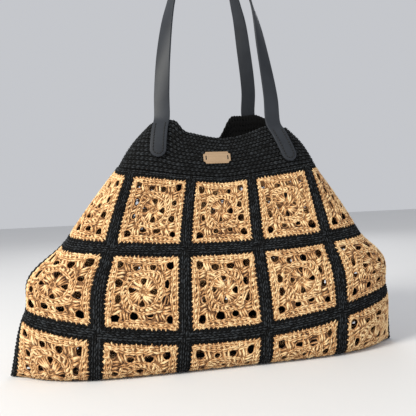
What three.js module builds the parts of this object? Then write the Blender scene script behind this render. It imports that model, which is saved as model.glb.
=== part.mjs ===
// A crochet shoulder bag: tan granny squares edged and joined in black, a drawn-in black yoke, two leather
// straps and a small plaque. Millimetres, +Z up, the front faces -Y, the floor is z = 0.

import * as THREE from 'three';

// Driving dimensions
const squarePitch = 106; // one square with its share of the black edging
const edgingWidth = 16; // black between two tan squares
const clothWall = 3; // thickness of the crocheted cloth
const floorDepth = 140; // the bag's footprint, front to back
const floorBend = 20; // length of the bend between wall and floor
const yokeHeight = 62; // the black band, from the squares up to the rim
const strapWidth = 22;
const strapThickness = 3;
const strapTab = 60; // the part of a strap that is sewn to the yoke
const strapRise = 240; // from the rim to the top of a strap's arch
const plaqueWidth = 37;
const plaqueHeight = 16.5;
const plaqueThickness = 1.6;
const plaqueCorner = 3.2; // radius of the concave corners
const plaqueSlotWidth = 1.6;
const plaqueSlotHeight = 6;
const plaqueSlotMargin = 3.6; // from the plaque's end to the middle of a slot
const clearance = 0.3; // between neighbouring pieces

// Counts and what follows from the sizes above
const columns = 5;
const rows = 3;
const panelWidth = columns * squarePitch;
const panelHeight = rows * squarePitch;
const edge = edgingWidth / 2 / squarePitch; // shares of a square from here on
const seam = clearance / 2 / squarePitch;
const circuit = 2 * columns; // squares once round the bag

// Each square's cloth is open beside its four corners. Lines of the grid that shapes a square, from its
// middle to the tan's edge at 1: the cell between holeNear and holeFar is the gap.
const holeNear = 0.62;
const holeFar = 0.84;
const plainLines = [-1, -holeFar, -holeNear, holeNear, holeFar, 1];
const curvedLines = [-1, -holeFar, -holeNear, 0, holeNear, holeFar, 1];
const foldedLines = [-1, -holeFar, -holeNear, -0.2, 0.2, holeNear, holeFar, 1];
const linesAcross = [curvedLines, curvedLines, plainLines, curvedLines, curvedLines];
const linesDown = [plainLines, curvedLines, foldedLines];

// Level sections of the cloth at the borders of the rows, from the top: shoulder, waist and hip. Widths are
// shares of the panel's width, heights of its height and depths of the floor's depth; square says how boxy
// the outline is, rise how sharply it climbs to the side seams, and turn is in degrees.
const sections = [
  { halfWidth: 0.258, across: 0.040, seamY: 0.35, front: 0.56, back: 0.56,
    squareFront: 7, squareBack: 5, height: 0.775, seamHeight: 0.865, rise: 1.2, turn: -4 },
  { halfWidth: 0.385, across: 0.021, seamY: 0.11, front: 0.46, back: 0.58,
    squareFront: 4, squareBack: 2.8, height: 0.482, seamHeight: 0.545, rise: 2, turn: -3 },
  { halfWidth: 0.470, across: 0.007, seamY: -0.13, front: 0.37, back: 0.58,
    squareFront: 2.9, squareBack: 2.1, height: 0.142, seamHeight: 0.274, rise: 2, turn: 1 },
];
const flank = 0.034; // how far the ends swell out between waist and hip, of the panel's width
const flankTaper = 3; // power with which that fades towards the middle
const floorHalfWidth = 0.51; // of the panel's width
const floorTaper = 5; // power with which the footprint narrows to its ends

// The rim's outline, in the same shares, and its height over the yoke's foot as shares of the yoke's height.
const rim = { halfWidth: 0.190, across: 0.050, seamY: 0.37, front: 0.46, back: 0.46,
  squareFront: 4, squareBack: 4, turn: -3 };
const yokeBulge = 0.06; // how far the yoke swells between its foot and its rim, of its height
const rimWaves = [
  { at: 0.0, rise: 0.80 },
  { at: 1.36, rise: 1.14 },
  { at: 1.66, rise: 0.92 },
  { at: 2.25, rise: 0.89 },
  { at: 2.85, rise: 0.88 },
  { at: 3.65, rise: 0.98 },
  { at: 4.20, rise: 0.84 },
  { at: 5.0, rise: 0.73 },
  { at: 6.35, rise: 1.53 },
  { at: 6.80, rise: 1.60 },
  { at: 7.30, rise: 1.08 },
  { at: 8.70, rise: 1.35 },
];

// Straps. A tab leans from its foot to the rim, both given as places round the bag in squares. The legs'
// places are shares: spread of the way from the tabs' middle to a tab, up of strapRise above the rim, and
// inward of the floor's depth towards the bag.
const straps = [
  { name: 'strap_front', left: { foot: 1.34, rim: 1.08 }, right: { foot: 3.75, rim: 3.75 }, side: 1 },
  { name: 'strap_back', left: { foot: 8.70, rim: 8.78 }, right: { foot: 6.28, rim: 6.36 }, side: -1 },
];
const strapLegs = [
  { spreadLeft: 0.97, spreadRight: 1.00, up: 0.16, inward: 0.05 },
  { spreadLeft: 0.89, spreadRight: 0.91, up: 0.42, inward: 0.09 },
  { spreadLeft: 0.74, spreadRight: 0.78, up: 0.68, inward: 0.12 },
  { spreadLeft: 0.48, spreadRight: 0.52, up: 0.91, inward: 0.14 },
];
const strapTop = { spreadLeft: 0, spreadRight: 0, up: 1, inward: 0.15 };
const strapTurnFrom = 0.09; // shares of a strap's length between which it turns from the yoke to its arch
const strapTurnTo = 0.45;
const strapLiesAt = 0.6; // the height on the yoke whose slope a strap's end follows
const strapTipWidth = 0.18; // the flat at the tip of a strap's rounded end, of the strap's width
const strapEndStations = [0, 0.12, 0.4, 1]; // where the rounded end is shaped, from its tip, of its length
const strapEndMargin = 1.3; // the straight part's stations start past this many lengths of the rounded end

// The plaque's middle: its place round the bag in squares, and its height as a share of the yoke's.
const plaqueAt = { around: 2.38, up: 0.46 };

// How finely curved shapes are divided
const SECTION_STEPS = 240;
const NORMAL_STEP = 0.02; // of a square, to each side of a point whose slope is wanted
const YOKE_RINGS = 3;
const TAB_STEPS = 4;
const STRAP_STEPS = 26;
const CORNER_STEPS = 4;
const SLOT_STEPS = 10;

const tan = { color: 0xd7a569, roughness: 0.7, metalness: 0 };
const black = { color: 0x23282b, roughness: 0.75, metalness: 0 };
const leather = { color: 0x1c1c1e, roughness: 0.4, metalness: 0 };
const wood = { color: 0xdcb486, roughness: 0.6, metalness: 0 };

// Level sections

// The half outline on one side, from the left seam to the right one, with equal lengths for equal shares.
function levelSection(row, side) {
  const halfWidth = row.halfWidth * panelWidth;
  const depth = (side > 0 ? row.front : row.back) * floorDepth;
  const power = 2 / (side > 0 ? row.squareFront : row.squareBack);
  const turn = THREE.MathUtils.degToRad(row.turn);
  const points = [];
  const lengths = [];
  for (let i = 0; i <= SECTION_STEPS; i++) {
    const angle = (Math.PI * i) / SECTION_STEPS;
    const c = Math.cos(angle);
    const s = Math.max(Math.sin(angle), 0);
    const x = -Math.sign(c) * Math.abs(c) ** power * halfWidth;
    const y = -side * s ** power * depth;
    points.push(new THREE.Vector2(x, y));
    lengths.push(i === 0 ? 0 : lengths[i - 1] + points[i].distanceTo(points[i - 1]));
  }
  const total = lengths[SECTION_STEPS];
  return (share) => {
    const want = share * total;
    let i = 1;
    while (i < SECTION_STEPS && lengths[i] < want) i++;
    const t = (want - lengths[i - 1]) / (lengths[i] - lengths[i - 1]);
    const p = points[i - 1].clone().lerp(points[i], t);
    p.rotateAround(new THREE.Vector2(0, 0), turn);
    return new THREE.Vector3(row.across * panelWidth + p.x, row.seamY * floorDepth + p.y, 0);
  };
}

// The same outline at its own height, which climbs from the middle to the seams.
function risingSection(row, side) {
  const outline = levelSection(row, side);
  return (share) => {
    const towardsSeam = Math.abs(2 * share - 1) ** row.rise;
    return outline(share).setZ(THREE.MathUtils.lerp(row.height, row.seamHeight, towardsSeam) * panelHeight);
  };
}

const sideSections = {};
const rimSections = {};
for (const side of [1, -1]) {
  sideSections[side] = sections.map((row) => risingSection(row, side));
  rimSections[side] = levelSection(rim, side);
}

// The cloth of the squares

function hermite(p0, m0, p1, m1, t) {
  const t2 = t * t;
  const t3 = t2 * t;
  return p0.clone().multiplyScalar(2 * t3 - 3 * t2 + 1)
    .addScaledVector(m0, t3 - 2 * t2 + t)
    .addScaledVector(p1, 3 * t2 - 2 * t3)
    .addScaledVector(m1, t3 - t2);
}

// A point of the outer face: across counts squares from the left seam, down from the top. The wall runs
// smoothly through the sections and bends under to a flat floor, whose middle line is the bottom seam.
function clothPoint(side, across, down) {
  const share = across / columns;
  const [shoulder, waist, hip] = sideSections[side].map((section) => section(share));
  const x = (2 * share - 1) * floorHalfWidth * panelWidth;
  const reach = (floorDepth / 2) * (1 - Math.abs(2 * share - 1) ** floorTaper);
  const floorSeam = new THREE.Vector3(x, 0, 0);
  const corner = new THREE.Vector3(x, -side * reach, 0);
  const wall = hip.distanceTo(corner);
  const bend = Math.min(floorBend, reach);
  const length = wall + reach;
  const wallEnd = corner.clone().lerp(hip, bend / wall);
  const floorStart = corner.clone().lerp(floorSeam, reach > 0 ? bend / reach : 0);
  const bendStartsAt = 2 + (wall - bend) / length;
  const bendEndsAt = 2 + (wall + bend) / length;
  const waistSlope = hip.clone().sub(shoulder).multiplyScalar(0.5);
  if (down <= 1) {
    const topSlope = waist.clone().sub(shoulder).multiplyScalar(2).sub(waistSlope);
    return hermite(shoulder, topSlope, waist, waistSlope, down);
  }
  const span = bendStartsAt - 2;
  const hipSlope = hip.clone().sub(waist).multiplyScalar(0.5)
    .addScaledVector(wallEnd.clone().sub(hip), 0.5 / span);
  if (down <= 2) {
    const p = hermite(waist, waistSlope, hip, hipSlope, down - 1);
    const fromMiddle = 2 * share - 1;
    const swell = Math.abs(fromMiddle) ** flankTaper * Math.sin(Math.PI * down) ** 2;
    p.x += Math.sign(fromMiddle) * swell * flank * panelWidth;
    return p;
  }
  if (down <= bendStartsAt) {
    const endSlope = corner.clone().sub(hip).multiplyScalar((length * span) / wall);
    return hermite(hip, hipSlope.multiplyScalar(span), wallEnd, endSlope, (down - 2) / span);
  }
  if (down < bendEndsAt) {
    const t = (down - bendStartsAt) / (bendEndsAt - bendStartsAt);
    return wallEnd.clone().multiplyScalar((1 - t) ** 2)
      .addScaledVector(corner, 2 * t * (1 - t))
      .addScaledVector(floorStart, t * t);
  }
  const t = bendEndsAt < rows ? (down - bendEndsAt) / (rows - bendEndsAt) : 1;
  return floorStart.clone().lerp(floorSeam, Math.min(t, 1));
}

function clothNormal(side, across, down) {
  const a = THREE.MathUtils.clamp(across, NORMAL_STEP, columns - NORMAL_STEP);
  const d = THREE.MathUtils.clamp(down, NORMAL_STEP, rows - NORMAL_STEP);
  const alongRow = clothPoint(side, a + NORMAL_STEP, d).sub(clothPoint(side, a - NORMAL_STEP, d));
  const downColumn = clothPoint(side, a, d + NORMAL_STEP).sub(clothPoint(side, a, d - NORMAL_STEP));
  return downColumn.cross(alongRow).multiplyScalar(side).normalize();
}

// Beside a side seam both panels share one direction through the cloth.
function skinNormal(side, across, down) {
  const seamAt = across < columns / 2 ? 0 : columns;
  const normal = clothNormal(side, across, down);
  const fromSeam = Math.abs(across - seamAt) / edge;
  if (fromSeam >= 1) return normal;
  const shared = clothNormal(1, seamAt, down).add(clothNormal(-1, seamAt, down)).normalize();
  return normal.lerp(shared, 1 - fromSeam).normalize();
}

function clothSkin(side, across, down, depth) {
  const p = clothPoint(side, across, down);
  if (depth === 0) return p;
  p.addScaledVector(skinNormal(side, across, down), -depth);
  p.z = Math.max(p.z, 0);
  const seamAt = across < columns / 2 ? 0 : columns;
  const limit = clothPoint(side, seamAt, down).y - side * clearance / 2;
  p.y = side > 0 ? Math.min(p.y, limit) : Math.max(p.y, limit);
  return p;
}

// A wall from a flat net of cells: each cell is skinned outside and inside, and every open edge is closed.

function wallGeometry(cells, place) {
  const positions = [];
  const index = [];
  const known = new Map();
  const vertex = (u, v, inner) => {
    const key = `${u.toFixed(5)},${v.toFixed(5)},${inner}`;
    if (!known.has(key)) {
      known.set(key, positions.length / 3);
      positions.push(...place(u, v, inner).toArray());
    }
    return known.get(key);
  };
  const edges = new Map();
  for (const cell of cells) {
    const outer = cell.map(([u, v]) => vertex(u, v, false));
    const inner = cell.map(([u, v]) => vertex(u, v, true));
    index.push(outer[0], outer[1], outer[2], outer[0], outer[2], outer[3]);
    index.push(inner[0], inner[2], inner[1], inner[0], inner[3], inner[2]);
    for (let k = 0; k < 4; k++) {
      const next = (k + 1) % 4;
      const ahead = cell[next][0] + cell[next][1] > cell[k][0] + cell[k][1];
      edges.set(`${outer[k]},${outer[next]}`, [outer[k], outer[next], inner[k], inner[next], ahead]);
    }
  }
  for (const [a, b, innerA, innerB, ahead] of edges.values()) {
    if (edges.has(`${b},${a}`)) continue;
    // Walls that face each other across a gap are split along the same diagonal.
    if (ahead) index.push(a, innerA, innerB, a, innerB, b);
    else index.push(a, innerA, b, b, innerA, innerB);
  }
  const geometry = new THREE.BufferGeometry();
  geometry.setAttribute('position', new THREE.Float32BufferAttribute(positions, 3));
  geometry.setIndex(index);
  geometry.computeVertexNormals();
  return geometry;
}

// Corners run anticlockwise as seen from outside, with v growing downwards.
const cellOf = (u0, u1, v0, v1) => [[u0, v0], [u0, v1], [u1, v1], [u1, v0]];
const facing = (side, cell) => (side > 0 ? cell : [...cell].reverse());

function piece(name, geometry, finish) {
  const mesh = new THREE.Mesh(geometry, new THREE.MeshStandardMaterial(finish));
  mesh.name = name;
  return mesh;
}

function clothPiece(name, side, cells, finish) {
  const place = (u, v, inner) => clothSkin(side, u, v, inner ? clothWall : 0);
  return piece(name, wallGeometry(cells.map((cell) => facing(side, cell)), place), finish);
}

// Granny squares

function squareLines(start, lines, gap) {
  const reach = 0.5 - edge - gap;
  return lines.map((line) => start + 0.5 + line * reach);
}

function grannySquare(sideName, side, row, column) {
  const us = squareLines(column, linesAcross[column], seam);
  const vs = squareLines(row, linesDown[row], seam);
  const isGap = (i, count) => i === 1 || i === count - 2;
  const cells = [];
  for (let j = 0; j < vs.length - 1; j++) {
    for (let i = 0; i < us.length - 1; i++) {
      if (isGap(i, us.length - 1) && isGap(j, vs.length - 1)) continue;
      cells.push(cellOf(us[i], us[i + 1], vs[j], vs[j + 1]));
    }
  }
  return clothPiece(`square_${sideName}_${row + 1}_${column + 1}`, side, cells, tan);
}

// Black edging: a net with one window for each square

function edgingLines() {
  const lines = [0];
  for (let c = 0; c < columns; c++) lines.push(...squareLines(c, linesAcross[c], -seam));
  return [...lines, columns];
}

function edging(sideName, side) {
  const us = edgingLines();
  us[0] = seam;
  us[us.length - 1] = columns - seam;
  const vs = [seam];
  for (let r = 0; r < rows; r++) vs.push(...squareLines(r, linesDown[r], -seam));
  vs.push(rows - seam);
  const inTan = (middle) => Math.abs((middle % 1) - 0.5) < 0.5 - edge;
  const cells = [];
  for (let j = 0; j < vs.length - 1; j++) {
    for (let i = 0; i < us.length - 1; i++) {
      if (inTan((us[i] + us[i + 1]) / 2) && inTan((vs[j] + vs[j + 1]) / 2)) continue;
      cells.push(cellOf(us[i], us[i + 1], vs[j], vs[j + 1]));
    }
  }
  return clothPiece(`edging_${sideName}`, side, cells, black);
}

// Yoke

// Places round the bag run over the front from the left seam and come back over the back.
const withinCircuit = (around) => ((around % circuit) + circuit) % circuit;

function wrapped(around) {
  const a = withinCircuit(around);
  return a <= columns ? { side: 1, across: a } : { side: -1, across: circuit - a };
}

function rimRise(around) {
  const a = withinCircuit(around);
  const count = rimWaves.length;
  let k = 0;
  while (k < count - 1 && rimWaves[k + 1].at <= a) k++;
  const point = (i) => {
    const wave = rimWaves[(i + count) % count];
    return { at: wave.at + circuit * Math.floor(i / count), rise: wave.rise };
  };
  const from = point(k);
  const to = point(k + 1);
  const t = (a - from.at) / (to.at - from.at);
  return THREE.MathUtils.lerp(from.rise, to.rise, (1 - Math.cos(Math.PI * t)) / 2);
}

function yokePoint(around, up) {
  const { side, across } = wrapped(around);
  const foot = clothPoint(side, across, 0);
  const top = rimSections[side](across / columns);
  top.z = foot.z + yokeHeight * rimRise(around);
  const p = foot.clone().lerp(top, up);
  const bulge = yokeBulge * yokeHeight * Math.sin(Math.PI * up);
  return p.addScaledVector(skinNormal(side, across, 0), bulge);
}

function yokeNormal(around, up) {
  const { side, across } = wrapped(around);
  const u = THREE.MathUtils.clamp(up, NORMAL_STEP, 1 - NORMAL_STEP);
  const alongBand = yokePoint(around + NORMAL_STEP, u).sub(yokePoint(around - NORMAL_STEP, u));
  const upBand = yokePoint(around, u + NORMAL_STEP).sub(yokePoint(around, u - NORMAL_STEP));
  const own = alongBand.cross(upBand).normalize();
  return skinNormal(side, across, 0).lerp(own, Math.min(1, up * YOKE_RINGS)).normalize();
}

function yoke() {
  const across = edgingLines();
  const around = [...across, ...across.slice(1, -1).map((u) => circuit - u).reverse()];
  const foot = clearance / yokeHeight;
  const cells = [];
  for (let j = 0; j < YOKE_RINGS; j++) {
    const v0 = THREE.MathUtils.lerp(foot, 1, 1 - j / YOKE_RINGS);
    const v1 = THREE.MathUtils.lerp(foot, 1, 1 - (j + 1) / YOKE_RINGS);
    around.forEach((u, i) => cells.push(cellOf(u, around[(i + 1) % around.length], v0, v1)));
  }
  const place = (u, v, inner) => {
    const p = yokePoint(u, v);
    return inner ? p.addScaledVector(yokeNormal(u, v), -clothWall) : p;
  };
  return piece('yoke', wallGeometry(cells, place), black);
}

// Straps

function tabPath(tab) {
  const height = yokePoint(tab.rim, 1).distanceTo(yokePoint(tab.rim, 0));
  const lift = 2 * clearance + strapThickness / 2;
  const points = [];
  for (let k = 0; k <= TAB_STEPS; k++) {
    const around = THREE.MathUtils.lerp(tab.foot, tab.rim, k / TAB_STEPS);
    const up = 1 - (strapTab / height) * (1 - k / TAB_STEPS);
    points.push(yokePoint(around, up).addScaledVector(yokeNormal(around, up), lift));
  }
  return points;
}

function strapRoute(design) {
  const left = tabPath(design.left);
  const right = tabPath(design.right);
  const rimLeft = left[TAB_STEPS];
  const rimRight = right[TAB_STEPS];
  const middle = rimLeft.clone().add(rimRight).multiplyScalar(0.5);
  const leg = (end, spread) => (row) => new THREE.Vector3(
    THREE.MathUtils.lerp(middle.x, end.x, row[spread]),
    THREE.MathUtils.lerp(middle.y, end.y, row[spread]) + design.side * row.inward * floorDepth,
    THREE.MathUtils.lerp(end.z, middle.z + strapRise, row.up),
  );
  const up = strapLegs.map(leg(rimLeft, 'spreadLeft'));
  const down = strapLegs.map(leg(rimRight, 'spreadRight')).reverse();
  const points = [...left, ...up, leg(rimLeft, 'spreadLeft')(strapTop), ...down, ...right.reverse()];
  const curve = new THREE.CatmullRomCurve3(points, false, 'centripetal');
  return { curve, middle, length: curve.getLength() };
}

// The leather lies flat on the yoke at its ends and faces out of its arch further up.
function strapOutward(design, route, share) {
  const tab = share < 0.5 ? design.left : design.right;
  const upTab = Math.min((Math.min(share, 1 - share) * route.length) / strapTab, 1);
  const atEnd = yokeNormal(THREE.MathUtils.lerp(tab.foot, tab.rim, upTab), strapLiesAt);
  const at = route.curve.getPointAt(share);
  const fromArch = new THREE.Vector3(at.x - route.middle.x, 0, at.z - route.middle.z).normalize();
  const turned = THREE.MathUtils.smoothstep(Math.min(share, 1 - share), strapTurnFrom, strapTurnTo);
  const along = route.curve.getTangentAt(share);
  const outward = atEnd.lerp(fromArch, turned);
  return outward.addScaledVector(along, -outward.dot(along)).normalize();
}

function strap(design) {
  const route = strapRoute(design);
  const { curve, length } = route;
  const roundEnd = strapWidth / 2;
  const endSteps = strapEndStations.map((share) => (share * roundEnd) / length);
  const straightFrom = (strapEndMargin * roundEnd) / length;
  const stations = [...endSteps];
  for (let i = 1; i < STRAP_STEPS; i++) {
    const share = i / STRAP_STEPS;
    if (share > straightFrom && share < 1 - straightFrom) stations.push(share);
  }
  stations.push(...endSteps.map((share) => 1 - share).reverse());
  const halfWidthAt = (share) => {
    const fromEnd = Math.min(Math.min(share, 1 - share) * length, roundEnd);
    return Math.max(Math.sqrt(roundEnd ** 2 - (roundEnd - fromEnd) ** 2), strapTipWidth * roundEnd);
  };
  const place = (share, across, inner) => {
    const outward = strapOutward(design, route, share);
    const width = curve.getTangentAt(share).cross(outward);
    const at = curve.getPointAt(share).addScaledVector(width, across * halfWidthAt(share));
    return at.addScaledVector(outward, inner ? -strapThickness / 2 : strapThickness / 2);
  };
  const cells = [];
  for (let i = 0; i < stations.length - 1; i++) {
    for (const [from, to] of [[-1, 0], [0, 1]]) {
      cells.push([[stations[i], from], [stations[i], to], [stations[i + 1], to], [stations[i + 1], from]]);
    }
  }
  return piece(design.name, wallGeometry(cells, place), leather);
}

// Plaque

function plaque() {
  const w = plaqueWidth / 2;
  const h = plaqueHeight / 2;
  const r = plaqueCorner;
  const corners = [
    { x: w, y: -h, from: 180 },
    { x: w, y: h, from: 270 },
    { x: -w, y: h, from: 0 },
    { x: -w, y: -h, from: 90 },
  ];
  const points = [];
  for (const corner of corners) {
    for (let k = 0; k <= CORNER_STEPS; k++) {
      const angle = THREE.MathUtils.degToRad(corner.from - (90 * k) / CORNER_STEPS);
      points.push(new THREE.Vector2(corner.x + r * Math.cos(angle), corner.y + r * Math.sin(angle)));
    }
  }
  const outline = new THREE.Shape(points);
  for (const end of [-1, 1]) {
    const x = end * (w - plaqueSlotMargin);
    const round = plaqueSlotWidth / 2;
    const straight = plaqueSlotHeight / 2 - round;
    const slot = [];
    for (let k = 0; k < SLOT_STEPS; k++) {
      const angle = (2 * Math.PI * (k + 0.5)) / SLOT_STEPS;
      const y = round * Math.sin(angle) + (angle < Math.PI ? straight : -straight);
      slot.push(new THREE.Vector2(x + round * Math.cos(angle), y));
    }
    outline.holes.push(new THREE.Path(slot.reverse()));
  }
  const geometry = new THREE.ExtrudeGeometry(outline, {
    depth: plaqueThickness, bevelEnabled: false,
  });
  const mesh = piece('plaque', geometry, wood);
  const outward = yokeNormal(plaqueAt.around, plaqueAt.up);
  const right = new THREE.Vector3(0, 0, 1).cross(outward).normalize();
  const up = outward.clone().cross(right);
  mesh.setRotationFromMatrix(new THREE.Matrix4().makeBasis(right, up, outward));
  mesh.position.copy(yokePoint(plaqueAt.around, plaqueAt.up)).addScaledVector(outward, 2 * clearance);
  return mesh;
}

// The bag

const bag = new THREE.Group();
for (const [sideName, side] of [['front', 1], ['back', -1]]) {
  for (let row = 0; row < rows; row++) {
    for (let column = 0; column < columns; column++) bag.add(grannySquare(sideName, side, row, column));
  }
  bag.add(edging(sideName, side));
}
bag.add(yoke());
for (const design of straps) bag.add(strap(design));
bag.add(plaque());

// The origin is the middle of the foot of the whole bag's box.
bag.updateMatrixWorld(true);
const box = new THREE.Box3().setFromObject(bag, true);
const centre = box.getCenter(new THREE.Vector3());
bag.position.set(-centre.x, -centre.y, -box.min.z);

export default bag;
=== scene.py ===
import math

import bpy
import numpy as np
from mathutils import Matrix, Vector


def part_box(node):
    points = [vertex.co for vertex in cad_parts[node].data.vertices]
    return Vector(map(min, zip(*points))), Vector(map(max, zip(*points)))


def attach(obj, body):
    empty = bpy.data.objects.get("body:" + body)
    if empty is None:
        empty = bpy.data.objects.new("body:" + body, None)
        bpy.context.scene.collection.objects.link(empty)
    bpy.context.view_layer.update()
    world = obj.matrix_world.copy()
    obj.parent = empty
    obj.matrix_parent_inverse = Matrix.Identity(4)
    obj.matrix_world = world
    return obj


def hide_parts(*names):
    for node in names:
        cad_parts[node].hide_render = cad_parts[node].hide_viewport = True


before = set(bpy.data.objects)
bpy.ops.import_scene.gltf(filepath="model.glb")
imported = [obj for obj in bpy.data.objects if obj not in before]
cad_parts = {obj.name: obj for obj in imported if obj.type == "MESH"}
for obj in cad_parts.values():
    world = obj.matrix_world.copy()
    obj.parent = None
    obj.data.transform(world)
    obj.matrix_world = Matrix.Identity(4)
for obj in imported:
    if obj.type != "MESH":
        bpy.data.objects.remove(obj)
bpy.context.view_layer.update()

# The crochet bag, dressed: every stitch is yarn laid on the cloth's own surface. Lengths are in millimetres
# until a piece is made, and MM turns them into metres.
MM = 0.001

# Sizes of the bag
SQUARE_PITCH = 106.0
EDGING_WIDTH = 16.0
CLOTH_WALL = 3.0
FLOOR_DEPTH = 140.0
FLOOR_BEND = 20.0
YOKE_HEIGHT = 62.0
STRAP_WIDTH = 22.0
STRAP_THICKNESS = 3.0
STRAP_TAB = 60.0
STRAP_RISE = 240.0
PLAQUE_WIDTH = 37.0
PLAQUE_HEIGHT = 16.5
PLAQUE_THICKNESS = 1.6
PLAQUE_CORNER = 3.2
PLAQUE_SLOT_WIDTH = 1.6
PLAQUE_SLOT_HEIGHT = 6.0
PLAQUE_SLOT_MARGIN = 3.6
CLEARANCE = 0.3
COLUMNS = 5
ROWS = 3
CIRCUIT = 2 * COLUMNS
PANEL_WIDTH = COLUMNS * SQUARE_PITCH
PANEL_HEIGHT = ROWS * SQUARE_PITCH
EDGE = EDGING_WIDTH / 2 / SQUARE_PITCH
TAN_HALF = (SQUARE_PITCH - EDGING_WIDTH) / 2

# The cloth's sections from the top, in shares of the panel's width and height and of the floor's depth
SECTIONS = [
    {"half_width": 0.258, "across": 0.040, "seam_y": 0.35, "front": 0.56, "back": 0.56,
     "square_front": 7, "square_back": 5, "height": 0.775, "seam_height": 0.865, "rise": 1.2, "turn": -4},
    {"half_width": 0.385, "across": 0.021, "seam_y": 0.11, "front": 0.46, "back": 0.58,
     "square_front": 4, "square_back": 2.8, "height": 0.482, "seam_height": 0.545, "rise": 2, "turn": -3},
    {"half_width": 0.470, "across": 0.007, "seam_y": -0.13, "front": 0.37, "back": 0.58,
     "square_front": 2.9, "square_back": 2.1, "height": 0.142, "seam_height": 0.274, "rise": 2, "turn": 1},
]
RIM = {"half_width": 0.190, "across": 0.050, "seam_y": 0.37, "front": 0.46, "back": 0.46,
       "square_front": 4, "square_back": 4, "turn": -3}
RIM_WAVES = {"at": [0.0, 1.36, 1.66, 2.25, 2.85, 3.65, 4.20, 5.0, 6.35, 6.80, 7.30, 8.70],
             "rise": [0.80, 1.14, 0.92, 0.89, 0.88, 0.98, 0.84, 0.73, 1.53, 1.60, 1.08, 1.35]}
FLANK = 0.034
FLANK_TAPER = 3
FLOOR_HALF_WIDTH = 0.51
FLOOR_TAPER = 5
YOKE_BULGE = 0.06
YOKE_RINGS = 3
SECTION_STEPS = 240
NORMAL_STEP = 0.02

# A strap's tab leans from its foot to the rim, both given as places round the bag in squares.
STRAPS = [
    {"name": "strap_front", "left": (1.34, 1.08), "right": (3.75, 3.75), "side": 1},
    {"name": "strap_back", "left": (8.70, 8.78), "right": (6.28, 6.36), "side": -1},
]
STRAP_LEGS = [
    {"left": 0.97, "right": 1.00, "up": 0.16, "inward": 0.05},
    {"left": 0.89, "right": 0.91, "up": 0.42, "inward": 0.09},
    {"left": 0.74, "right": 0.78, "up": 0.68, "inward": 0.12},
    {"left": 0.48, "right": 0.52, "up": 0.91, "inward": 0.14},
]
STRAP_TOP = {"left": 0.0, "right": 0.0, "up": 1.0, "inward": 0.15}
STRAP_TURN_FROM = 0.09
STRAP_TURN_TO = 0.45
STRAP_LIES_AT = 0.6
TAB_STEPS = 4
PLAQUE_AT = {"around": 2.38, "up": 0.46}

# The yarn: strands lie about the middle of the cloth's wall
CLOTH_MIDDLE = -CLOTH_WALL / 2
STRAND_RADIUS = 1.35
# Painted shade and highlight: a strand's colour darkens where it lies deep in the cloth, in the crevices
# between strands, and lightens on the crests, as if lit.
CREVICE_FROM = 1.40  # yarn nearer to the middle of the wall than this is painted darker, as shade, and yarn beyond it painted lighter, as highlight
CREVICE_SHADE = 0.55  # how much painted shade and highlight, for each millimetre
THICKNESS_WANDER = 0.08  # of a strand's own thickness
EVEN_TONE = 0.5  # of what has one colour all over

# The kinds of stitch. Its spread parts a stitch's two strands and its lift bends them out of the cloth, in
# millimetres, and a V runs on by its reach, in stitches. Its thickness is given from foot to head, in strand
# radii, its tone is the mean shade, and wander is how far single strands stray from that.
SQUARE_STITCH = {"spread": 1.25, "lift": 0.75, "thickness": [0.80, 1.25, 1.00, 0.85],
                 "tone": 0.50, "wander": 0.16, "sides": 5}
SQUARE_CHAIN = {"spread": 1.4, "lift": 0.7, "reach": 1.35, "thickness": [0.75, 1.05, 0.80],
                "tone": 0.54, "wander": 0.16, "sides": 4}
CENTRE_CHAIN = {"spread": 0.8, "lift": 0.7, "reach": 1.35, "thickness": [0.6, 0.8, 0.6],
                "tone": 0.50, "wander": 0.16, "sides": 4}
TOOTH = {"thickness": [0.95, 0.70], "tone": 0.72, "wander": 0.15, "sides": 4}
EDGING_STITCH = {"spread": 1.1, "lift": 0.45, "thickness": [0.8, 1.0, 1.0, 0.8],
                 "tone": 0.30, "wander": 0.16, "sides": 4}
EDGING_CHAIN = {"spread": 1.75, "lift": 0.95, "reach": 1.25, "thickness": [0.70, 1.05, 0.85],
                "tone": 0.52, "wander": 0.20, "sides": 4}
YOKE_STITCH = {"spread": 1.1, "lift": 0.25, "thickness": [0.7, 0.85, 0.85, 0.7],
               "tone": 0.15, "wander": 0.08, "sides": 4}
YOKE_CHAIN = {"spread": 1.10, "lift": 1.15, "reach": 1.45, "thickness": [0.62, 0.98, 0.75],
              "tone": 0.40, "wander": 0.13, "sides": 4}
CHAIN_STANDS = 0.35  # how far a row of V stitches lies out from the middle of the wall

# The sheets that close the cloth behind its stitches. Their dark tone is painted shade, so that the gaps
# between stitches look shadowed.
SQUARE_SHEET = {"thickness": 1.0, "tone": 0.18}
BLACK_SHEET = {"thickness": 1.2, "tone": 0.0}


# Arrays of points

TINY = 1e-9  # keeps a division from zero
STEEP = 0.05  # a strand that leans less than this stands straight out of the cloth


def unit(vectors):
    return vectors / np.maximum(np.linalg.norm(vectors, axis=-1, keepdims=True), TINY)


def between(a, b, share):
    return a + (b - a) * np.asarray(share)[..., None]


def points_of(x, y, z):
    return np.stack(np.broadcast_arrays(x, y, z), -1).astype(float)


def lines_from(starts, steps, shares):
    """A line of points from each start, at shares of its step."""
    return starts[:, None] + steps[:, None] * np.asarray(shares)[None, :, None]


def strayed(rng, points, wander):
    """Flat points, each moved a little at random."""
    return points + points_of(*rng.normal(0, wander, (2, len(points))), 0)


def turned(points, angle):
    """Flat points turned about the origin, whatever lies in their third column."""
    c, s = math.cos(angle), math.sin(angle)
    out = np.array(points, float)
    out[..., 0] = points[..., 0] * c - points[..., 1] * s
    out[..., 1] = points[..., 0] * s + points[..., 1] * c
    return out


# The cloth's surface

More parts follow.
